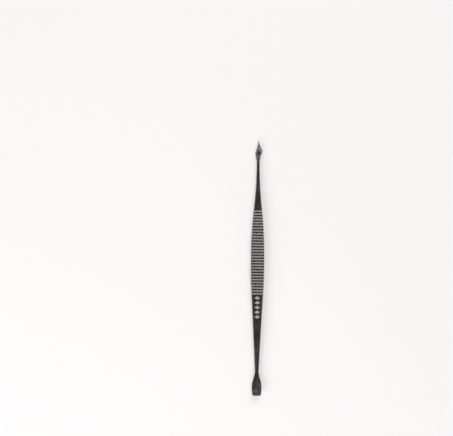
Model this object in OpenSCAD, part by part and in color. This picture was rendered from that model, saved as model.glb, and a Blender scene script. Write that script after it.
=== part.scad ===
// Double-ended cuticle pusher, in millimetres.
// The real tool is one stainless steel forging. Each node below is one worked zone of it, and the
// zones meet face to face on shared cross-sections. The tool lies on the back of its ribbed grip:
// +Y runs from the pusher edge to the spear point, +Z is up, and the origin is under mid-length.
// A station is the distance along the tool from the pusher edge.

/* [Whole tool] */
// Length from the pusher edge to the spear point
tool_length = 114.3; // [112:0.1:125]
// Bevel along the four long edges of the bar
edge_bevel = 0.4; // [0.2:0.05:0.6]

/* [Pusher blade] */
// Widest part of the blade
blade_width = 4.4; // [3.5:0.1:5.5]
// Thickness of the blunt pushing edge
blade_edge = 0.4; // [0.3:0.05:0.6]
// Thickness of the blade across its widest part
blade_thickness = 0.9; // [0.7:0.05:1.2]
// Station of the widest part of the blade
blade_widest_at = 4.4; // [3.5:0.1:5]
// Station of the neck behind the blade
blade_length = 10.7; // [9:0.1:13]
// Rounding of the two corners of the pushing edge
blade_corner = 0.9; // [0.4:0.05:1]
// Radius of the blade's bulging sides
blade_side_radius = 33; // [24:1:80]
// Height by which the pushing edge curls up above the bar's middle
blade_rise = 1.2; // [0:0.1:2]
// Radius of the hollow across the blade
blade_dish_radius = 7; // [5:0.5:20]

/* [Shanks] */
// Width of the neck behind the pusher blade
pusher_neck_width = 1.8; // [1.5:0.1:2.4]
// Thickness of the neck behind the pusher blade
pusher_neck_thickness = 1.5; // [1.2:0.1:2]
// Bow of the pusher shank's sides, where 1 is a straight taper
pusher_shank_bow = 1.08; // [1:0.01:1.3]
// Width of the neck behind the spear
spear_neck_width = 1.36; // [1.1:0.02:1.8]
// Thickness of the neck behind the spear
spear_neck_thickness = 1.24; // [1.1:0.02:1.8]

/* [Ribbed grip] */
// Widest part of the grip
grip_width = 6; // [5:0.1:7]
// Thickness of the bar at the grip
grip_thickness = 2.6; // [2.2:0.1:3.2]
// Station where the ribs start
grip_start = 44.8; // [42:0.1:48]
// Length of the widest stretch, where the sides run parallel
grip_parallel = 5; // [2:0.5:8]
// Distance from where the ribs start to where the sides run parallel
grip_swell = 12.2; // [10:0.1:14]
// Radius of the grip's long curved sides
grip_side_radius = 195; // [180:1:260]
// Number of grooves across each face
groove_count = 30; // [24:1:32]
// Distance between groove centres
groove_pitch = 1.27; // [1.15:0.01:1.3]
// Width of a groove at the face
groove_width = 0.56; // [0.4:0.02:0.8]
// Depth of a groove
groove_depth = 0.2; // [0.1:0.02:0.3]

/* [Spear] */
// Length of the spear, from its neck to its point
spear_length = 10.1; // [9:0.1:11]
// Reach of the left corner from the axis
spear_left = 1.45; // [1:0.05:2]
// Reach of the right corner from the axis
spear_right = 1.9; // [1:0.05:2]
// Distance of the left corner from the point
spear_left_back = 6.3; // [5.5:0.1:7]
// How much nearer the point the right corner is than the left
spear_stagger = 1.2; // [0.2:0.1:2]
// Hollowness of the left cutting side, where 1 is straight
spear_left_hollow = 1.5; // [1:0.1:2]
// Hollowness of the right cutting side, where 1 is straight
spear_right_hollow = 1.8; // [1:0.1:2]
// Hollowness of the left side behind its corner, where 1 is straight
spear_left_waist = 1.2; // [1:0.1:2]
// Hollowness of the right side behind its corner, where 1 is straight
spear_right_waist = 1.9; // [1:0.1:2]
// Thickness of the spear at the peak of its ridges
spear_thickness = 1; // [0.8:0.05:1.4]
// Sideways lean of the point
spear_lean = 0.15; // [0:0.05:0.3]
// Width and thickness of the blunt point
spear_point = 0.1; // [0.06:0.02:0.2]

/* [Hidden] */

polished = [0.36, 0.35, 0.34];
satin = [0.52, 0.51, 0.50];
ground = [0.45, 0.44, 0.43];

grip_end = grip_start + groove_count * groove_pitch;
parallel_start = grip_start + grip_swell;
parallel_end = parallel_start + grip_parallel;
spear_neck = tool_length - spear_length;
spear_right_back = spear_left_back - spear_stagger;
middle_height = grip_thickness / 2;
groove_radius = (pow(groove_width / 2, 2) + pow(groove_depth, 2)) / (2 * groove_depth);

function mix(a, b, share) = a + (b - a) * share;
function part_way(s, from, to) = min(1, max(0, (s - from) / (to - from)));
function smooth(u) = u * u * (3 - 2 * u);
function arc_drop(radius, run) = radius - sqrt(pow(radius, 2) - pow(run, 2));
function arc_radius(run, drop) = (pow(run, 2) + pow(drop, 2)) / (2 * drop);

// Half of the bar's width in plan at a station, with the spear left out
blade_half = blade_width / 2;
pusher_neck_half = pusher_neck_width / 2;
spear_neck_half = spear_neck_width / 2;
grip_start_half = grip_width / 2 - arc_drop(grip_side_radius, grip_swell);
grip_end_half = grip_width / 2 - arc_drop(grip_side_radius, grip_end - parallel_end);
spear_shank_radius = arc_radius(spear_neck - grip_end, grip_end_half - spear_neck_half);

function corner_cut(s) =
    s < blade_corner ? arc_drop(blade_corner, blade_corner - s) : 0;
function blade_half_width(s) =
    s < blade_widest_at
        ? blade_half - arc_drop(blade_side_radius, blade_widest_at - s) - corner_cut(s)
        : mix(blade_half, pusher_neck_half, smooth(part_way(s, blade_widest_at, blade_length)));
function half_width(s) =
    s < blade_length ? blade_half_width(s)
    : s < grip_start
        ? mix(pusher_neck_half, grip_start_half,
              pow(part_way(s, blade_length, grip_start), pusher_shank_bow))
    : s < parallel_start ? grip_width / 2 - arc_drop(grip_side_radius, parallel_start - s)
    : s < parallel_end ? grip_width / 2
    : s < grip_end ? grip_width / 2 - arc_drop(grip_side_radius, s - parallel_end)
    : spear_neck_half + arc_drop(spear_shank_radius, max(0, spear_neck - s));

// Half of the thickness at a station
spear_peak = tool_length - (spear_left_back + spear_right_back) / 2;
function half_thickness(s) =
    (s < blade_widest_at ? mix(blade_edge, blade_thickness, s / blade_widest_at)
    : s < blade_length
        ? mix(blade_thickness, pusher_neck_thickness,
              smooth(part_way(s, blade_widest_at, blade_length)))
    : s < grip_start
        ? mix(pusher_neck_thickness, grip_thickness, part_way(s, blade_length, grip_start))
    : s < grip_end ? grip_thickness
    : s < spear_neck
        ? mix(grip_thickness, spear_neck_thickness, part_way(s, grip_end, spear_neck))
    : s < spear_peak
        ? mix(spear_neck_thickness, spear_thickness, part_way(s, spear_neck, spear_peak))
    : mix(spear_thickness, spear_point, part_way(s, spear_peak, tool_length))) / 2;

// Reach of one side of the spear at a station: out to its corner, then in to the point
function spear_reach(s, corner_reach, corner_back, waist, hollow) =
    let (corner = tool_length - corner_back)
    s < corner
        ? mix(spear_neck_half, corner_reach, pow(part_way(s, spear_neck, corner), waist))
        : mix(spear_point / 2, corner_reach, pow((tool_length - s) / corner_back, hollow));
function left_reach(s) =
    s < spear_neck
        ? half_width(s)
        : spear_reach(s, spear_left, spear_left_back, spear_left_waist, spear_left_hollow);
function right_reach(s) =
    s < spear_neck
        ? half_width(s)
        : spear_reach(s, spear_right, spear_right_back, spear_right_waist, spear_right_hollow);

// 0 where the section is a bevelled bar, 1 where it is ground to four flat facets
facet_run = 1.6;
function faceted(s) = part_way(s, spear_neck, spear_neck + facet_run);
// Height and curvature of the blade's middle line, and sideways lean of the spear
function rise(s) = blade_rise * pow(1 - part_way(s, 0, blade_length), 2);
function dish(s) =
    (1 - smooth(part_way(s, blade_widest_at / 2, blade_length))) / (2 * blade_dish_radius);
function lean(s) = spear_lean * part_way(s, spear_neck, tool_length);

// A quarter of a section, from the side pole towards the upper pole, as a bevelled bar corner.
// Each half of a flat is divided into flat_steps, so that it can follow the dish.
largest_bevel_share = 0.6;
function bevel(w, t) = min(edge_bevel, largest_bevel_share * min(w, t));
function bar_quarter(w, t, flat_steps) =
    let (c = bevel(w, t))
    concat(
        [[w, 0], [w, t - c]],
        [for (i = [0:flat_steps - 1]) [(w - c) * (1 - i / flat_steps), t]]
    );
// The same quarter as one flat facet
function facet_quarter(w, t, flat_steps) =
    let (count = flat_steps + 2)
    [for (i = [0:count - 1]) [w * (1 - i / count), t * i / count]];
function quarter(w, t, flatness, flat_steps) =
    mix(bar_quarter(w, t, flat_steps), facet_quarter(w, t, flat_steps), flatness);

// The closed cross-section at a station, counter-clockwise from the right pole
function section(s, flat_steps) =
    let (
        t = half_thickness(s),
        right = quarter(right_reach(s), t, faceted(s), flat_steps),
        left = quarter(left_reach(s), t, faceted(s), flat_steps)
    )
    concat(
        right,
        [[0, t]],
        [for (i = [len(left) - 1:-1:1]) [-left[i].x, left[i].y]],
        [for (p = left) [-p.x, -p.y]],
        [[0, -t]],
        [for (i = [len(right) - 1:-1:1]) [right[i].x, -right[i].y]]
    );
function placed(s, flat_steps) =
    [for (p = section(s, flat_steps))
        [p.x + lean(s), s - tool_length / 2, middle_height + rise(s) + p.y + dish(s) * p.x * p.x]];

// A closed solid through the sections at the given stations
module loft(at_stations, flat_steps = 1) {
    rings = [for (s = at_stations) placed(s, flat_steps)];
    count = len(rings[0]);
    last = len(rings) - 1;
    sides = [for (k = [0:last - 1], i = [0:count - 1])
        let (
            a = k * count + i,
            b = k * count + (i + 1) % count,
            c = b + count,
            d = a + count
        )
        each [[a, d, c], [a, c, b]]];
    near_cap = [for (i = [0:count - 1]) i];
    far_cap = [for (i = [0:count - 1]) last * count + (count - i) % count];
    polyhedron([for (ring = rings) each ring], concat(sides, [near_cap, far_cap]), convexity = 4);
}

// Evenly spaced stations
function stations(from, to, steps) = [for (i = [0:steps]) mix(from, to, i / steps)];

// The grooves of both faces, each cut by a rod laid across the bar
module grooves() {
    rod_height = groove_radius - groove_depth;
    for (i = [0:groove_count - 1], z = [-rod_height, grip_thickness + rod_height])
        translate([0, grip_start + (i + 0.5) * groove_pitch - tool_length / 2, z])
            rotate([0, 90, 0])
                cylinder(r = groove_radius, h = 2 * grip_width, center = true, $fn = 48);
}

// Half of the grip's bevelled section, reaching out from the Y axis
module grip_profile(reach) {
    polygon([
        [0, 0], [reach - edge_bevel, 0], [reach, edge_bevel],
        [reach, grip_thickness - edge_bevel], [reach - edge_bevel, grip_thickness],
        [0, grip_thickness]
    ]);
}

// The right half of the grip between two stations, cut from the rim of a large bevelled disc
// whose centre is level with widest, the station where the side is furthest out
module curved_side(from, to, widest) {
    intersection() {
        translate([grip_width / 2 - grip_side_radius, widest - tool_length / 2, 0])
            rotate_extrude($fn = 720) grip_profile(grip_side_radius);
        translate([0, from - tool_length / 2, -grip_thickness])
            cube([grip_width, to - from, 3 * grip_thickness]);
    }
}

module grip_half() {
    curved_side(grip_start, parallel_start, parallel_start);
    translate([0, parallel_end - tool_length / 2, 0])
        rotate([90, 0, 0])
            linear_extrude(grip_parallel) grip_profile(grip_width / 2);
    curved_side(parallel_end, grip_end, parallel_end);
}

// The first stations crowd around the rounded corners of the pushing edge
module pusher_blade() {
    corner_steps = 5;
    corners = [for (i = [0:corner_steps - 1]) blade_corner * (1 - cos(90 * i / corner_steps))];
    color(ground)
        loft(concat(corners, stations(blade_corner, blade_length, 16)), flat_steps = 4);
}

module pusher_shank() {
    color(polished) loft(stations(blade_length, grip_start, 12));
}

module ribbed_grip() {
    color(satin) difference() {
        union() {
            grip_half();
            mirror([1, 0, 0]) grip_half();
        }
        grooves();
    }
}

module spear_shank() {
    color(polished) loft(stations(grip_end, spear_neck, 14));
}

module spear_tip() {
    left_corner = tool_length - spear_left_back;
    right_corner = tool_length - spear_right_back;
    waist_steps = 3;
    waist = [for (i = [1:waist_steps]) mix(spear_neck + facet_run, left_corner, i / waist_steps)];
    color(ground) loft(concat(
        stations(spear_neck, spear_neck + facet_run, 3),
        waist,
        [spear_peak],
        stations(right_corner, tool_length, 6)
    ));
}

pusher_blade();
pusher_shank();
ribbed_grip();
spear_shank();
spear_tip();
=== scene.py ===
"""Looks of a double-ended stainless steel cuticle pusher, lying on the back of its ribbed grip.

The tool is one forging, worked into five zones. Each zone is rebuilt here as a fine closed mesh
that replaces its plain CAD solid and meets its neighbours on a shared cross-section.
Shapes are worked out in millimetres. A station is the distance along the tool, in millimetres,
from the pushing edge. Meshes are in metres, in the frame of the CAD model.
"""

import math

import bmesh
import bpy
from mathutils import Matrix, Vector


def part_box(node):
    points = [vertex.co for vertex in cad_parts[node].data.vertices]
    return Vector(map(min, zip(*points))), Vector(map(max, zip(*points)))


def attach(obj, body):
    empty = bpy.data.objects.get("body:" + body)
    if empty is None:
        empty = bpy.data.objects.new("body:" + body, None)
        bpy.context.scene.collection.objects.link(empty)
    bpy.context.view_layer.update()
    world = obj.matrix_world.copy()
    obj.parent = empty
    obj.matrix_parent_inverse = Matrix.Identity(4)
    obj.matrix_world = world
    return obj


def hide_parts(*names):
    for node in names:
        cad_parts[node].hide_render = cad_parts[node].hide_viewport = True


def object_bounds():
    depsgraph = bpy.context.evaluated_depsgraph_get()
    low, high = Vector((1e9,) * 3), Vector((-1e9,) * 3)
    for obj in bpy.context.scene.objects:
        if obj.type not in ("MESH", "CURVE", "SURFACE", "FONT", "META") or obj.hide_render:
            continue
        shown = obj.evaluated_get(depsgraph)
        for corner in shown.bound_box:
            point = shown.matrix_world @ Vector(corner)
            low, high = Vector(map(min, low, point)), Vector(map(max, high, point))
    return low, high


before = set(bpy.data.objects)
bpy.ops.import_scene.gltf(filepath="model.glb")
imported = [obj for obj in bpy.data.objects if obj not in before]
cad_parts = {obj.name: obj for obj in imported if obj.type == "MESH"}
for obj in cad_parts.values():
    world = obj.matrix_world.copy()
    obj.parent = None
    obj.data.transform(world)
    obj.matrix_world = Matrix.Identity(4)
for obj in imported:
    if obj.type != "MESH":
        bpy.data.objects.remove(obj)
cad_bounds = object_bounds()

MM = 0.001


# Sizes that the CAD model gives, in millimetres


def node_box(node):
    """Lowest and highest corner of a CAD node, in millimetres."""
    low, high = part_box(node)
    return low / MM, high / MM


START_Y = cad_bounds[0].y / MM
TOOL_LENGTH = (cad_bounds[1].y - cad_bounds[0].y) / MM

blade_low, blade_high = node_box("pusher_blade")
grip_low, grip_high = node_box("ribbed_grip")
spear_low, _ = node_box("spear_tip")

BLADE_LENGTH = blade_high.y - START_Y
GRIP_START = grip_low.y - START_Y
GRIP_END = grip_high.y - START_Y
SPEAR_NECK = spear_low.y - START_Y
BLADE_HALF = (blade_high.x - blade_low.x) / 2
GRIP_HALF = (grip_high.x - grip_low.x) / 2
GRIP_THICKNESS = grip_high.z - grip_low.z
MIDDLE_HEIGHT = GRIP_THICKNESS / 2

# Sizes that the boxes don't show, as in the CAD model: millimetres, and a count of grooves

BLADE_EDGE = 0.4
BLADE_THICKNESS = 0.9
BLADE_WIDEST_AT = 4.4
BLADE_CORNER = 0.9
BLADE_SIDE_RADIUS = 33.0
BLADE_RISE = 1.2
BLADE_DISH_RADIUS = 7.0

PUSHER_NECK_HALF = 0.9
PUSHER_NECK_THICKNESS = 1.5
SPEAR_NECK_HALF = 0.68
SPEAR_NECK_THICKNESS = 1.24

GRIP_PARALLEL = 5.0
GRIP_SWELL = 12.2
GRIP_SIDE_RADIUS = 195.0
GROOVE_COUNT = 30
GROOVE_WIDTH = 0.56
GROOVE_DEPTH = 0.2

SPEAR_LEFT = 1.45
SPEAR_RIGHT = 1.9
SPEAR_LEFT_BACK = 6.3
SPEAR_RIGHT_BACK = 5.1
SPEAR_THICKNESS = 1.0
SPEAR_FACET_RUN = 1.6
SPEAR_LEAN = 0.15
SPEAR_POINT = 0.1

# Powers that bend an outline, as in the CAD model: 1 would leave it straight

PUSHER_SHANK_BOW = 1.08
SPEAR_LEFT_HOLLOW = 1.5
SPEAR_RIGHT_HOLLOW = 1.8
SPEAR_LEFT_WAIST = 1.2
SPEAR_RIGHT_WAIST = 1.9

# What polishing and use leave on a real tool, in millimetres

LONG_EDGE_RADIUS = 0.4
FACE_CROWN = 0.03
SIDE_CROWN = 0.05
LIP_SOFTNESS = 0.03
EDGE_NOSE = 0.2
EDGE_BLUNT = 0.03
SPEAR_EDGE = 0.03
RIDGE_SOFTNESS = 0.04
BLADE_BARE_NECK = 1.5

# The most that an edge's radius and a face's crown take of a half width or half thickness, and
# that the even steps over the lozenges take of the flat of a face

LONG_EDGE_SHARE = 0.8
CROWN_SHARE = 0.05
MARKED_SHARE = 0.8

# Places on the spear's ridge, counted from 0 at its neck to 1 at its corners and 2 at its point

SPEAR_GROUND_FROM = 0.9
SPEAR_GROUND_TO = 1.3
SPEAR_PALE_PATCH_AT = 0.57
SPEAR_PALE_PATCH_REACH = 0.24

# The plain etched lozenges beside the grip, in millimetres

MARK_COUNT = 5
MARK_PITCH = 2.1
MARK_BACK_FROM_GRIP = 1.26
MARK_HALF_LENGTH = 0.8
MARK_HALF_WIDTH = 1.3
MARK_DEPTH = 0.04
MARK_WALL = 0.02

# Fineness of the meshes: steps round a quarter of a section, then numbers of rings

SIDE_STEPS = 3
ARC_STEPS = 8
OUTER_FLAT_STEPS = 3
MARK_STEPS = 7
FLAT_STEPS = MARK_STEPS + OUTER_FLAT_STEPS
BLADE_CORNER_RINGS = 20
GROOVE_WALL_RINGS = 9
SPEAR_RINGS = 40

# Places of the rings on a groove's lip, out from its edge, in steps of the lip's softness

LIP_RING_PLACES = (1, 3, 6)

# Largest gaps between rings, in millimetres

BLADE_RING_GAP = 0.2
PUSHER_SHANK_RING_GAP = 0.5
SPEAR_SHANK_RING_GAP = 0.4

# Angles above which an edge is shaded as a crease, in degrees

BAR_CREASE = 40
MARK_CREASE = 30
FACET_CREASE = 14

PARALLEL_START = GRIP_START + GRIP_SWELL
PARALLEL_END = PARALLEL_START + GRIP_PARALLEL
GROOVE_PITCH = (GRIP_END - GRIP_START) / GROOVE_COUNT
GROOVE_RADIUS = ((GROOVE_WIDTH / 2) ** 2 + GROOVE_DEPTH**2) / (2 * GROOVE_DEPTH)
SPEAR_LEFT_CORNER = TOOL_LENGTH - SPEAR_LEFT_BACK
SPEAR_RIGHT_CORNER = TOOL_LENGTH - SPEAR_RIGHT_BACK
SPEAR_PEAK = TOOL_LENGTH - (SPEAR_LEFT_BACK + SPEAR_RIGHT_BACK) / 2


# The tool's outline, as in the CAD model


def mix(a, b, share):
    """The value a given share of the way from a to b."""
    return a + (b - a) * share


def part_way(s, start, end):
    """How far s has come from start to end, from 0 to 1."""
    return min(1.0, max(0.0, (s - start) / (end - start)))


def smooth(u):
    """A smooth step from 0 to 1."""
    return u * u * (3 - 2 * u)


def arc_drop(radius, run):
    """How far an arc falls away from its tangent over a run."""
    return radius - math.sqrt(max(0.0, radius**2 - run**2))


GRIP_START_HALF = GRIP_HALF - arc_drop(GRIP_SIDE_RADIUS, GRIP_SWELL)
GRIP_END_HALF = GRIP_HALF - arc_drop(GRIP_SIDE_RADIUS, GRIP_END - PARALLEL_END)
SPEAR_SHANK_RUN = SPEAR_NECK - GRIP_END
SPEAR_SHANK_DROP = GRIP_END_HALF - SPEAR_NECK_HALF
SPEAR_SHANK_RADIUS = (SPEAR_SHANK_RUN**2 + SPEAR_SHANK_DROP**2) / (2 * SPEAR_SHANK_DROP)


def half_width(s):
    """Half of the tool's width at a station short of the spear."""
    if s < BLADE_WIDEST_AT:
        corner = arc_drop(BLADE_CORNER, BLADE_CORNER - s) if s < BLADE_CORNER else 0.0
        return BLADE_HALF - arc_drop(BLADE_SIDE_RADIUS, BLADE_WIDEST_AT - s) - corner
    if s < BLADE_LENGTH:
        return mix(BLADE_HALF, PUSHER_NECK_HALF, smooth(part_way(s, BLADE_WIDEST_AT, BLADE_LENGTH)))
    if s < GRIP_START:
        along = part_way(s, BLADE_LENGTH, GRIP_START)
        return mix(PUSHER_NECK_HALF, GRIP_START_HALF, along**PUSHER_SHANK_BOW)
    if s < PARALLEL_START:
        return GRIP_HALF - arc_drop(GRIP_SIDE_RADIUS, PARALLEL_START - s)
    if s < PARALLEL_END:
        return GRIP_HALF
    if s < GRIP_END:
        return GRIP_HALF - arc_drop(GRIP_SIDE_RADIUS, s - PARALLEL_END)
    return SPEAR_NECK_HALF + arc_drop(SPEAR_SHANK_RADIUS, max(0.0, SPEAR_NECK - s))


def half_thickness(s):
    """Half of the tool's thickness at a station short of the spear. The pushing edge ends in a
    rounded nose, which the CAD model leaves square."""
    if s < EDGE_NOSE:
        edge = mix(BLADE_EDGE, BLADE_THICKNESS, EDGE_NOSE / BLADE_WIDEST_AT) / 2
        return EDGE_BLUNT + (edge - EDGE_BLUNT) * math.sqrt(1 - (1 - s / EDGE_NOSE) ** 2)
    if s < BLADE_WIDEST_AT:
        return mix(BLADE_EDGE, BLADE_THICKNESS, s / BLADE_WIDEST_AT) / 2
    if s < BLADE_LENGTH:
        along = smooth(part_way(s, BLADE_WIDEST_AT, BLADE_LENGTH))
        return mix(BLADE_THICKNESS, PUSHER_NECK_THICKNESS, along) / 2
    if s < GRIP_START:
        return mix(PUSHER_NECK_THICKNESS, GRIP_THICKNESS, part_way(s, BLADE_LENGTH, GRIP_START)) / 2
    if s < GRIP_END:
        return GRIP_THICKNESS / 2
    return mix(GRIP_THICKNESS, SPEAR_NECK_THICKNESS, part_way(s, GRIP_END, SPEAR_NECK)) / 2


def groove_cut(s):
    """Depth of the grip's face at a station, with the lips of each groove slightly rounded."""
    if s <= GRIP_START or s >= GRIP_END:
        return 0.0
    off = abs((s - GRIP_START) % GROOVE_PITCH - GROOVE_PITCH / 2)
    half = GROOVE_WIDTH / 2
    centre_height = GROOVE_RADIUS - GROOVE_DEPTH
    if off < half:
        cut = math.sqrt(GROOVE_RADIUS**2 - off**2) - centre_height
    else:
        cut = -(off - half) * half / centre_height
    return (cut + math.sqrt(cut**2 + LIP_SOFTNESS**2)) / 2


def middle_rise(s):
    """Height by which the blade's middle line curls up above the bar's."""
    return BLADE_RISE * (1 - part_way(s, 0, BLADE_LENGTH)) ** 2


def dish(s):
    """Curvature of the hollow across the blade, halved, as a rise per square of distance."""
    fade = smooth(part_way(s, BLADE_WIDEST_AT / 2, BLADE_LENGTH))
    return (1 - fade) / (2 * BLADE_DISH_RADIUS)


# Cross-sections. w is the half width and t the half thickness. A section point is (x, z, edge),
# where edge is 1 on a long edge and 0 on a face.


def crowned(point, w, t):
    """Lets the faces fall away slightly towards their edges, as hand polishing leaves them."""
    x, z, edge = point
    across, up = x / w, z / t
    crown = min(FACE_CROWN, CROWN_SHARE * t)
    side = min(SIDE_CROWN, CROWN_SHARE * w)
    return (x - side * across * up**2, z - crown * up * across**2, edge)


def face_positions(flat_edge, mark_edge):
    """Places across half of a face, from its edge to the middle, with even steps over the marks."""
    outer = [mix(flat_edge, mark_edge, i / OUTER_FLAT_STEPS) for i in range(OUTER_FLAT_STEPS)]
    return outer + [mark_edge * (1 - i / MARK_STEPS) for i in range(MARK_STEPS)]


def bar_quarter(w, t, cut=0.0):
    """A quarter of a bar's section from its side up to its face, with a rounded long edge. A cut
    lowers the face, and ends the rounding where it meets the lowered face."""
    radius = min(LONG_EDGE_RADIUS, LONG_EDGE_SHARE * w, LONG_EDGE_SHARE * t)
    top_angle = math.asin(max(0.0, 1 - cut / radius))
    points = [(w, (t - radius) * i / SIDE_STEPS, 0.0) for i in range(SIDE_STEPS)]
    for i in range(ARC_STEPS):
        angle = top_angle * i / ARC_STEPS
        across = w - radius + radius * math.cos(angle)
        points.append((across, t - radius + radius * math.sin(angle), math.sin(2 * angle)))
    flat_edge = w - radius + radius * math.cos(top_angle)
    mark_edge = min(MARK_HALF_WIDTH, MARKED_SHARE * (w - radius))
    points += [(x, t - cut, 0.0) for x in face_positions(flat_edge, mark_edge)]
    return [crowned(point, w, t) for point in points]


def facet_quarter(w, t):
    """A quarter of the spear's section: one flat facet from a thin cutting edge up to a softened
    ridge, in as many points as a quarter of a bar's section."""
    points = [(w, SPEAR_EDGE * i / SIDE_STEPS, 1.0) for i in range(SIDE_STEPS)]
    steps = ARC_STEPS + FLAT_STEPS
    soft_top = RIDGE_SOFTNESS / w
    far_end = math.sqrt(1 + soft_top**2)
    for i in range(steps):
        across = 1 - i / steps
        climb = (far_end - math.sqrt(across**2 + soft_top**2)) / (far_end - soft_top)
        edge = 1.0 if i == 0 else 0.0
        points.append((w * across, mix(SPEAR_EDGE, t, climb), edge))
    return points


def partly_faceted_quarter(w, t, flatness):
    """A quarter of a section on its way from the bar's, at 0, to the spear's, at 1."""
    pairs = zip(bar_quarter(w, t), facet_quarter(w, t))
    return [tuple(mix(a, b, flatness) for a, b in zip(bar, facet)) for bar, facet in pairs]


def whole_section(right, left, top):
    """A closed section from its right and left quarters, counter-clockwise from the right side."""
    upper_left = [(-x, z, edge) for x, z, edge in reversed(left)]
    lower_left = [(-x, -z, edge) for x, z, edge in left[1:]]
    lower_right = [(x, -z, edge) for x, z, edge in reversed(right[1:])]
    return right + [(0.0, top, 0.0)] + upper_left + lower_left + [(0.0, -top, 0.0)] + lower_right


# Rings. A ring point is (x, station, z, edge, finish), where finish goes from 0, the bare bar's
# look, to 1, the zone's own look.


def bar_ring(s):
    """The ring at a station short of the spear. Its own look is on the grooves and the blade."""
    w, t, cut = half_width(s), half_thickness(s), groove_cut(s)
    quarter = bar_quarter(w, t, cut)
    lift, hollow = middle_rise(s), dish(s)
    ground = 1 - smooth(part_way(s, BLADE_WIDEST_AT, BLADE_LENGTH - BLADE_BARE_NECK))
    ring = []
    for x, z, edge in whole_section(quarter, quarter, t - cut):
        height = MIDDLE_HEIGHT + lift + z + hollow * x * x
        groove = cut / GROOVE_DEPTH * min(1.0, abs(z) / (t - cut))
        ring.append((x, s, height, edge, max(ground, groove)))
    return ring


def side_reach(corner_reach, hollow, upper):
    """Reach of one side of the spear. upper is 0 at the corner and 1 at the point."""
    return mix(SPEAR_POINT / 2, corner_reach, (1 - upper) ** hollow)


def spear_finish(way, across, on_top):
    """How far the spear has its own look. It is ground from about its corners to its point, sooner
    at the sides than at the ridge, and its own paler look also covers a patch across its upper face
    short of the corners."""
    ground = smooth(part_way(way + across / 2, SPEAR_GROUND_FROM, SPEAR_GROUND_TO))
    if not on_top:
        return ground
    # A paler patch across the upper face, short of the corners
    nearness = max(0.0, 1 - abs(way - SPEAR_PALE_PATCH_AT) / SPEAR_PALE_PATCH_REACH)
    return max(ground, smooth(nearness) * (1 - across**2 / 2))


def spear_ring(lower, upper):
    """A ring of the spear. lower goes from 0 at the neck to 1 at the corners, then upper from 0
    at the corners to 1 at the point. The rings slant away from the ridge on both sides, so that
    one of them passes through both of the staggered corners."""
    if upper > 0:
        left = side_reach(SPEAR_LEFT, SPEAR_LEFT_HOLLOW, upper)
        right = side_reach(SPEAR_RIGHT, SPEAR_RIGHT_HOLLOW, upper)
        left_s = mix(SPEAR_LEFT_CORNER, TOOL_LENGTH, upper)
        right_s = mix(SPEAR_RIGHT_CORNER, TOOL_LENGTH, upper)
        middle_s = mix(SPEAR_PEAK, TOOL_LENGTH, upper)
        t = mix(SPEAR_THICKNESS, SPEAR_POINT, upper) / 2
    else:
        left = mix(SPEAR_NECK_HALF, SPEAR_LEFT, lower**SPEAR_LEFT_WAIST)
        right = mix(SPEAR_NECK_HALF, SPEAR_RIGHT, lower**SPEAR_RIGHT_WAIST)
        left_s = mix(SPEAR_NECK, SPEAR_LEFT_CORNER, lower)
        right_s = mix(SPEAR_NECK, SPEAR_RIGHT_CORNER, lower)
        middle_s = mix(SPEAR_NECK, SPEAR_PEAK, lower)
        t = mix(SPEAR_NECK_THICKNESS, SPEAR_THICKNESS, lower) / 2
    flatness = smooth(part_way(middle_s, SPEAR_NECK, SPEAR_NECK + SPEAR_FACET_RUN))
    right_quarter = partly_faceted_quarter(right, t, flatness)
    left_quarter = partly_faceted_quarter(left, t, flatness)
    ring = []
    for x, z, edge in whole_section(right_quarter, left_quarter, t):
        side_s, reach = (right_s, right) if x > 0 else (left_s, left)
        across = abs(x) / reach
        s = mix(middle_s, side_s, across)
        lean = SPEAR_LEAN * part_way(s, SPEAR_NECK, TOOL_LENGTH)
        finish = spear_finish(lower + upper, across, z > 0)
        ring.append((x + lean, s, MIDDLE_HEIGHT + z, edge, finish))
    return ring


# Meshes


def evenly(start, end, step):
    """Even stations from start to end, no further apart than step."""
    count = math.ceil((end - start) / step)
    return [mix(start, end, i / count) for i in range(count + 1)]


def lofted(name, rings):
    """A closed mesh through rings of points, with each point's edge and finish shares stored."""
    mesh = bpy.data.meshes.new(name)
    points = [point for ring in rings for point in ring]
    count = len(rings[0])
    faces = []
    for k in range(len(rings) - 1):
        near, far = k * count, (k + 1) * count
        for i in range(count):
            j = (i + 1) % count
            faces.append((near + i, far + i, far + j, near + j))
    faces.append(tuple(range(count)))
    faces.append(tuple(reversed(range(len(points) - count, len(points)))))
    mesh.from_pydata([(x * MM, (s + START_Y) * MM, z * MM) for x, s, z, _, _ in points], [], faces)
    store_on_points(mesh, "edge_share", [edge for _, _, _, edge, _ in points])
    store_on_points(mesh, "finish_share", [finish for _, _, _, _, finish in points])
    return mesh


def store_on_points(mesh, name, values):
    """Stores a number for each point of a mesh, under a name that materials can read."""
    layer = mesh.attributes.new(name, "FLOAT", "POINT")
    layer.data.foreach_set("value", values)


def steel_piece(mesh, node, materials, crease_degrees=BAR_CREASE):
    """Puts a finished mesh in the scene as a piece of the same name that stands for a CAD node."""
    work = bmesh.new()
    work.from_mesh(mesh)
    bmesh.ops.recalc_face_normals(work, faces=work.faces)
    work.to_mesh(mesh)
    work.free()
    mesh.shade_smooth()
    mesh.set_sharp_from_angle(angle=math.radians(crease_degrees))
    for material in materials:
        mesh.materials.append(material)
    piece = bpy.data.objects.new(mesh.name, mesh)
    bpy.context.scene.collection.objects.link(piece)
    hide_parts(node)
    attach(piece, "root")


def pusher_blade_mesh():
    """The blade. Its rings crowd at the pushing edge, where the corners and the edge are rounded."""
    turns = [math.pi / 2 * i / BLADE_CORNER_RINGS for i in range(BLADE_CORNER_RINGS)]
    stations = [BLADE_CORNER * (1 - math.cos(turn)) for turn in turns]
    stations += evenly(BLADE_CORNER, BLADE_LENGTH, BLADE_RING_GAP)
    return lofted("rounded_blade", [bar_ring(s) for s in stations])


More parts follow.
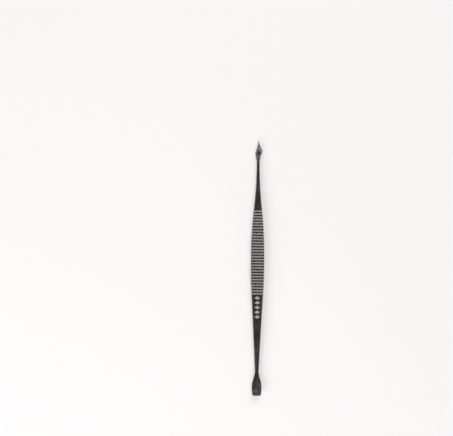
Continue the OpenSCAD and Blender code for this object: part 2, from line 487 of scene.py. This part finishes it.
def pusher_shank_mesh():
    """The shank, with the etched lozenges sunk into its upper face. One ring stands half way
    across each gap after a lozenge."""
    last_middle = GRIP_START - MARK_BACK_FROM_GRIP
    middles = [last_middle - i * MARK_PITCH for i in reversed(range(MARK_COUNT))]
    gap_ends = [middle - MARK_HALF_LENGTH for middle in middles[1:]] + [GRIP_START]
    stations = evenly(BLADE_LENGTH, middles[0] - MARK_HALF_LENGTH, PUSHER_SHANK_RING_GAP)[:-1]
    for middle, gap_end in zip(middles, gap_ends):
        steps = range(-MARK_STEPS, MARK_STEPS + 1)
        stations += [middle + MARK_HALF_LENGTH * i / MARK_STEPS for i in steps]
        stations.append(mix(stations[-1], gap_end, 0.5))
    stations.append(GRIP_START)
    mesh = lofted("tapered_shank", [bar_ring(s) for s in stations])
    sink_marks(mesh, middles)
    return mesh


def sink_marks(mesh, middles):
    """Pushes the lozenges' floors down into the upper face, inside narrow walls."""
    work = bmesh.new()
    work.from_mesh(mesh)
    floor = []
    for middle in middles:
        floor += mark_floor(work, (middle + START_Y) * MM)
    bmesh.ops.recalc_face_normals(work, faces=work.faces)
    bmesh.ops.inset_region(
        work, faces=floor, thickness=MARK_WALL * MM, depth=-MARK_DEPTH * MM, use_even_offset=True
    )
    for face in floor:
        face.material_index = 1
    work.to_mesh(mesh)
    work.free()


def mark_floor(work, middle_y):
    """The faces of one lozenge's floor, with its outline cut into the mesh. The mesh has MARK_STEPS
    even steps from the lozenge's middle to each corner, so the outline runs across the diagonals
    of its cells."""
    floor = []
    for face in list(work.faces):
        centre = face.calc_center_median()
        near_lengthwise = abs(centre.y - middle_y) < MARK_HALF_LENGTH * MM
        near_crosswise = abs(centre.x) < MARK_HALF_WIDTH * MM
        on_top = centre.z >= MIDDLE_HEIGHT * MM
        if not (near_lengthwise and near_crosswise and on_top and len(face.verts) == 4):
            continue
        steps = [steps_out(vertex, middle_y) for vertex in face.verts]
        if max(steps) <= MARK_STEPS:
            floor.append(face)
        elif min(steps) < MARK_STEPS:
            ends = [vertex for vertex, out in zip(face.verts, steps) if out == MARK_STEPS]
            other, _ = bmesh.utils.face_split(face, ends[0], ends[1])
            floor.append(min((face, other), key=lambda half: least_steps_out(half, middle_y)))
    return floor


def steps_out(vertex, middle_y):
    """Steps from a lozenge's middle to a point, counted along and across and added up."""
    across = abs(vertex.co.x) / (MARK_HALF_WIDTH * MM)
    along = abs(vertex.co.y - middle_y) / (MARK_HALF_LENGTH * MM)
    return round((across + along) * MARK_STEPS)


def least_steps_out(face, middle_y):
    """Steps from a lozenge's middle to a face's nearest point."""
    return min(steps_out(vertex, middle_y) for vertex in face.verts)


def ribbed_grip_mesh():
    """The grip, with more rings over each groove's walls and lips than on the lands."""
    half = GROOVE_WIDTH / 2
    turns = [math.pi / 2 * i / GROOVE_WALL_RINGS for i in range(GROOVE_WALL_RINGS + 1)]
    offsets = [half * math.sin(turn) for turn in turns]
    offsets += [half + place * LIP_SOFTNESS for place in LIP_RING_PLACES]
    stations = [GRIP_START]
    for i in range(GROOVE_COUNT):
        middle = GRIP_START + (i + 0.5) * GROOVE_PITCH
        stations += [middle - off for off in reversed(offsets)]
        stations += [middle + off for off in offsets[1:]]
        stations.append(GRIP_START + (i + 1) * GROOVE_PITCH)
    return lofted("ribbed_grip_bar", [bar_ring(s) for s in stations])


def spear_shank_mesh():
    """The bare shank between the grip and the spear."""
    stations = evenly(GRIP_END, SPEAR_NECK, SPEAR_SHANK_RING_GAP)
    return lofted("slim_shank", [bar_ring(s) for s in stations])


def spear_tip_mesh():
    """The spear: rings up to the corners, then rings on to the point."""
    rings = [spear_ring(i / SPEAR_RINGS, 0.0) for i in range(SPEAR_RINGS + 1)]
    rings += [spear_ring(1.0, i / SPEAR_RINGS) for i in range(1, SPEAR_RINGS + 1)]
    return lofted("faceted_spear", rings)


# Building blocks of the materials

# Places of a Mix node's two values among its inputs, and of its result among its outputs
MIX_SOCKETS = {"FLOAT": (2, 3, 0), "RGBA": (6, 7, 2)}

# The stretch of a noise's values that is used, unless a look says otherwise, and its middle
NOISE_START = 0.3
NOISE_END = 0.7
NOISE_MIDDLE = 0.5


def new_material(name):
    """A new material, its node tree, and the Principled shader that is all it starts with."""
    material = bpy.data.materials.new(name)
    material.use_nodes = True
    tree = material.node_tree
    tree.nodes.clear()
    output = tree.nodes.new("ShaderNodeOutputMaterial")
    shader = tree.nodes.new("ShaderNodeBsdfPrincipled")
    tree.links.new(shader.outputs["BSDF"], output.inputs["Surface"])
    return material, tree, shader


def stretched_noise(tree, across, along, detail=3.0, turn_degrees=0.0, grit=0.5):
    """Noise with the given repeats per metre across and along the tool, turned about the
    vertical. More grit gives stronger fine detail."""
    place = tree.nodes.new("ShaderNodeTexCoord")
    turn = tree.nodes.new("ShaderNodeMapping")
    turn.inputs["Rotation"].default_value = (0, 0, math.radians(turn_degrees))
    stretch = tree.nodes.new("ShaderNodeMapping")
    stretch.inputs["Scale"].default_value = (across, along, across)
    noise = tree.nodes.new("ShaderNodeTexNoise")
    noise.inputs["Scale"].default_value = 1.0
    noise.inputs["Detail"].default_value = detail
    noise.inputs["Roughness"].default_value = grit
    tree.links.new(place.outputs["Object"], turn.inputs["Vector"])
    tree.links.new(turn.outputs["Vector"], stretch.inputs["Vector"])
    tree.links.new(stretch.outputs["Vector"], noise.inputs["Vector"])
    return noise.outputs["Fac"]


def mapped(tree, value, high=1.0, start=NOISE_START, end=NOISE_END):
    """A value that goes from 0 to high as its input goes from start to end."""
    node = tree.nodes.new("ShaderNodeMapRange")
    node.inputs["From Min"].default_value = start
    node.inputs["From Max"].default_value = end
    node.inputs["To Min"].default_value = 0.0
    node.inputs["To Max"].default_value = high
    tree.links.new(value, node.inputs["Value"])
    return node.outputs["Result"]


def blended(tree, share, first, second, kind="FLOAT"):
    """A blend of two values or colours, each a constant or another node's output."""
    node = tree.nodes.new("ShaderNodeMix")
    node.data_type = kind
    first_place, second_place, result_place = MIX_SOCKETS[kind]
    tree.links.new(share, node.inputs[0])
    for place, value in ((first_place, first), (second_place, second)):
        if isinstance(value, bpy.types.NodeSocket):
            tree.links.new(value, node.inputs[place])
        else:
            node.inputs[place].default_value = value
    return node.outputs[result_place]


def overlaid(tree, colour, pattern, over, strength=1.0, start=NOISE_START, end=NOISE_END):
    """A colour with another over it, up to a strength, as a pattern goes from start to end."""
    share = mapped(tree, pattern, high=strength, start=start, end=end)
    return blended(tree, share, colour, over, "RGBA")


def varied(tree, value, pattern, over, strength=1.0):
    """A value that goes towards another, up to a strength, as a pattern rises."""
    return blended(tree, mapped(tree, pattern, high=strength), value, over)


def point_value(tree, name):
    """A share stored on the mesh's points."""
    node = tree.nodes.new("ShaderNodeAttribute")
    node.attribute_type = "GEOMETRY"
    node.attribute_name = name
    return node.outputs["Fac"]


def add_bump(tree, shader, height, depth, normal=None):
    """Bump of a depth in millimetres, on top of another bump if one is given."""
    bump = tree.nodes.new("ShaderNodeBump")
    bump.inputs["Strength"].default_value = 1.0
    bump.inputs["Distance"].default_value = depth * MM
    tree.links.new(height, bump.inputs["Height"])
    if normal is not None:
        tree.links.new(normal, bump.inputs["Normal"])
    tree.links.new(bump.outputs["Normal"], shader.inputs["Normal"])
    return bump.outputs["Normal"]


def grey(level, warmth=0.1):
    """A slightly warm grey."""
    return (level * (1 + warmth), level, level * (1 - warmth / 2), 1.0)


# Materials. A grey's level is the share of light that it sends back. Depths are in millimetres.

# Painted edge tones: a darker grey on the long edges as painted shade, and a paler one on the
# spear's ground edges as a painted highlight
BARE_EDGE_SHADE_LEVEL = 0.24
SPEAR_EDGE_HIGHLIGHT_LEVEL = 0.45
BLADE_WARMTH = 0.16
GROOVE_WARMTH = 0.04
ETCH_WARMTH = 0.05

BRUSHING_DEPTH = 0.002
GROOVE_GRAIN_DEPTH = 0.003
GRINDING_DEPTH = 0.006
ETCH_DEPTH = 0.012


def bar_look(tree):
    """Colour, roughness and brushing of the bare bar: lengthwise brushing, faint cloudy handling
    marks and a few bright nicks."""
    brushing = stretched_noise(tree, across=16000, along=260)
    clouds = stretched_noise(tree, across=420, along=180, detail=4.0)
    nicks = stretched_noise(tree, across=4200, along=1200, detail=2.0, turn_degrees=25.0)
    colour = overlaid(tree, grey(0.2), clouds, grey(0.28))
    colour = overlaid(tree, colour, brushing, grey(0.33), strength=0.5)
    colour = overlaid(tree, colour, nicks, grey(0.55), strength=0.7, start=0.66, end=0.8)
    rough = varied(tree, 0.2, clouds, 0.29)
    rough = varied(tree, rough, brushing, 0.34, strength=0.6)
    return colour, rough, brushing


# The looks below give a zone's colour, roughness, and the pattern and depth of its bump


def groove_look_painted_light(tree):
    """The grip's grooves: matt, and with a paler grey than the polished lands between them as
    painted light that their curved walls catch.
    """
    grain = stretched_noise(tree, across=9000, along=9000, detail=2.0)
    # Painted light: the grooves' paler grey stands for the light that their curved walls catch;
    # their matt roughness is real
    colour = overlaid(tree, grey(0.36, GROOVE_WARMTH), grain, grey(0.45, GROOVE_WARMTH))
    return colour, varied(tree, 0.5, grain, 0.66), grain, GROOVE_GRAIN_DEPTH


def blade_look(tree):
    """The ground blade: mottled where the wheel bit less evenly, with fine scratches one way and
    fainter ones across them."""
    mottle = stretched_noise(tree, across=2000, along=1700, detail=4.0)
    scratches = stretched_noise(tree, across=7000, along=500, turn_degrees=35.0)
    cross_scratches = stretched_noise(tree, across=6000, along=430, turn_degrees=-50.0)
    patch = mapped(tree, mottle, start=0.4, end=0.64)
    colour = blended(tree, patch, grey(0.13, BLADE_WARMTH), grey(0.3), "RGBA")
    colour = overlaid(tree, colour, scratches, grey(0.5), strength=0.7, start=0.5)
    colour = overlaid(tree, colour, cross_scratches, grey(0.46), strength=0.35, start=0.5)
    return colour, blended(tree, patch, 0.26, 0.44), scratches, GRINDING_DEPTH


def spear_look(tree):
    """The hand-ground spear: diagonal grinding lines across the facets."""
    lines = stretched_noise(tree, across=2600, along=130, detail=5.0, turn_degrees=-40.0, grit=0.7)
    fine_lines = stretched_noise(tree, across=14000, along=400, turn_degrees=-40.0)
    colour = overlaid(tree, grey(0.24), lines, grey(0.72), start=0.4, end=0.58)
    colour = overlaid(tree, colour, fine_lines, grey(0.5), strength=0.5)
    return colour, varied(tree, 0.28, fine_lines, 0.42), fine_lines, GRINDING_DEPTH


def zone_steel(name, zone_look=None, painted_edge_level=BARE_EDGE_SHADE_LEVEL):
    """Steel that starts from the bare bar's look, and turns into its zone's own look as the finish
    share goes from a half to 1. Its long edges get a painted tone that also follows the finish: a
    darker grey as painted shade, turning on the spear's ground edges into a paler grey as a painted
    highlight."""
    material, tree, shader = new_material(name)
    shader.inputs["Metallic"].default_value = 1.0
    colour, rough, brushing = bar_look(tree)
    normal = add_bump(tree, shader, brushing, BRUSHING_DEPTH)
    painted_edge_colour = grey(BARE_EDGE_SHADE_LEVEL)
    if zone_look:
        zone_colour, zone_rough, relief, depth = zone_look(tree)
        share = mapped(tree, point_value(tree, "finish_share"), start=0.5, end=1.0)
        painted_edge_colour = blended(tree, share, painted_edge_colour, grey(painted_edge_level), "RGBA")
        colour = blended(tree, share, colour, zone_colour, "RGBA")
        rough = blended(tree, share, rough, zone_rough)
        add_bump(tree, shader, blended(tree, share, NOISE_MIDDLE, relief), depth, normal)
    # Painted shade on the long edges, blended towards a fixed grey; on the spear's ground edges that
    # grey is paler, a painted highlight
    edge = mapped(tree, point_value(tree, "edge_share"), high=0.6, start=0.2, end=1.0)
    colour = blended(tree, edge, colour, painted_edge_colour, "RGBA")
    tree.links.new(colour, shader.inputs["Base Color"])
    tree.links.new(rough, shader.inputs["Roughness"])
    return material


def etched_steel():
    """The frosted floors of the etched lozenges."""
    material, tree, shader = new_material("etched_steel")
    shader.inputs["Metallic"].default_value = 1.0
    frost = stretched_noise(tree, across=12000, along=12000)
    colour = overlaid(tree, grey(0.5, ETCH_WARMTH), frost, grey(0.64, ETCH_WARMTH))
    tree.links.new(colour, shader.inputs["Base Color"])
    tree.links.new(varied(tree, 0.62, frost, 0.78), shader.inputs["Roughness"])
    add_bump(tree, shader, frost, ETCH_DEPTH)
    return material


# Stage: lengths in metres

FLOOR_HALF = 2.5
FLOOR_COLOUR = (0.76, 0.75, 0.75, 1)
FLOOR_ROUGHNESS = 0.8
FLOOR_GLOW_COLOUR = (1, 0.96, 0.95, 1)
FLOOR_GLOW = 0.28
SOFTBOX_SIZE = 0.5

# Camera: lengths in metres, but the sensor's width in millimetres. VIEW_WIDTH is how much of the
# floor it sees from side to side.

CAMERA_HEIGHT = 1.0
CAMERA_ASIDE = -0.0138
CAMERA_ALONG = 0.02205
CAMERA_ROLL_DEGREES = 0.43
CAMERA_CLIP_START = 0.01
VIEW_WIDTH = 0.2022
SENSOR_WIDTH = 36.0

# The dome's colours, by height: 0 is the horizon and all below it, and 1 is straight overhead

DOME_STOPS = (
    (0.0, (0.6, 0.6, 0.61, 1)),
    (0.6, (0.3, 0.3, 0.3, 1)),
    (0.95, (0.05, 0.05, 0.05, 1)),
)


def floor_material():
    """Plain pale card. Its faint glow keeps it even and pale."""
    material, _, shader = new_material("pale_card")
    shader.inputs["Base Color"].default_value = FLOOR_COLOUR
    shader.inputs["Roughness"].default_value = FLOOR_ROUGHNESS
    shader.inputs["Emission Color"].default_value = FLOOR_GLOW_COLOUR
    shader.inputs["Emission Strength"].default_value = FLOOR_GLOW
    return material


def add_floor():
    """A large plain floor at the height that the tool rests on."""
    mesh = bpy.data.meshes.new("floor")
    corners = [(-1, -1), (1, -1), (1, 1), (-1, 1)]
    mesh.from_pydata([(x * FLOOR_HALF, y * FLOOR_HALF, 0) for x, y in corners], [], [(0, 1, 2, 3)])
    mesh.materials.append(floor_material())
    floor = bpy.data.objects.new("floor", mesh)
    bpy.context.scene.collection.objects.link(floor)


def add_world():
    """A soft dome that is dim overhead and pale round the horizon."""
    world = bpy.data.worlds.new("studio")
    bpy.context.scene.world = world
    world.use_nodes = True
    tree = world.node_tree
    background = tree.nodes["Background"]
    place = tree.nodes.new("ShaderNodeTexCoord")
    split = tree.nodes.new("ShaderNodeSeparateXYZ")
    ramp = tree.nodes.new("ShaderNodeValToRGB")
    tree.links.new(place.outputs["Generated"], split.inputs["Vector"])
    tree.links.new(split.outputs["Z"], ramp.inputs["Fac"])
    tree.links.new(ramp.outputs["Color"], background.inputs["Color"])
    ramp.color_ramp.interpolation = "EASE"
    stops = ramp.color_ramp.elements
    stops.remove(stops[1])
    stops[0].position, stops[0].color = DOME_STOPS[0]
    for height, colour in DOME_STOPS[1:]:
        stops.new(height).color = colour


def add_softbox(name, azimuth, elevation, distance, power):
    """A square area light that faces the tool. Azimuth 0 is towards -Y, 90 towards +X."""
    light = bpy.data.lights.new(name, "AREA")
    light.shape = "SQUARE"
    light.size = SOFTBOX_SIZE
    light.energy = power
    lamp = bpy.data.objects.new(name, light)
    turn, up = math.radians(azimuth), math.radians(elevation)
    lamp.location = (
        distance * math.cos(up) * math.sin(turn),
        -distance * math.cos(up) * math.cos(turn),
        distance * math.sin(up),
    )
    lamp.rotation_euler = (math.pi / 2 - up, 0, turn)
    bpy.context.scene.collection.objects.link(lamp)


def add_camera():
    """A long lens looking straight down, with the tool right of and below the middle."""
    data = bpy.data.cameras.new("camera")
    data.sensor_width = SENSOR_WIDTH
    data.lens = SENSOR_WIDTH * CAMERA_HEIGHT / VIEW_WIDTH
    data.clip_start = CAMERA_CLIP_START
    camera = bpy.data.objects.new("camera", data)
    roll = math.radians(CAMERA_ROLL_DEGREES)
    camera.location = (
        CAMERA_ASIDE * math.cos(roll) - CAMERA_ALONG * math.sin(roll),
        CAMERA_ASIDE * math.sin(roll) + CAMERA_ALONG * math.cos(roll),
        CAMERA_HEIGHT,
    )
    camera.rotation_euler = (0, 0, roll)
    bpy.context.scene.collection.objects.link(camera)
    bpy.context.scene.camera = camera


def add_tool():
    """The five pieces, from the pushing edge to the spear."""
    polished = zone_steel("polished_steel")
    etched = etched_steel()
    satin = zone_steel("satin_steel", groove_look_painted_light)
    blade = zone_steel("ground_blade_steel", blade_look)
    spear = zone_steel("ground_spear_steel", spear_look, SPEAR_EDGE_HIGHLIGHT_LEVEL)
    steel_piece(pusher_blade_mesh(), "pusher_blade", [blade])
    steel_piece(pusher_shank_mesh(), "pusher_shank", [polished, etched], MARK_CREASE)
    steel_piece(ribbed_grip_mesh(), "ribbed_grip", [satin])
    steel_piece(spear_shank_mesh(), "spear_shank", [polished])
    steel_piece(spear_tip_mesh(), "spear_tip", [spear], FACET_CREASE)


def add_stage():
    """The floor, the light and the camera."""
    add_floor()
    add_world()
    add_softbox("head_light", azimuth=170, elevation=42, distance=0.75, power=2.3)
    add_softbox("foot_light", azimuth=10, elevation=42, distance=0.75, power=1.8)
    add_softbox("key_light", azimuth=-48, elevation=30, distance=0.8, power=3.2)
    add_camera()
    bpy.context.scene.view_settings.view_transform = "Standard"


add_tool()
add_stage()
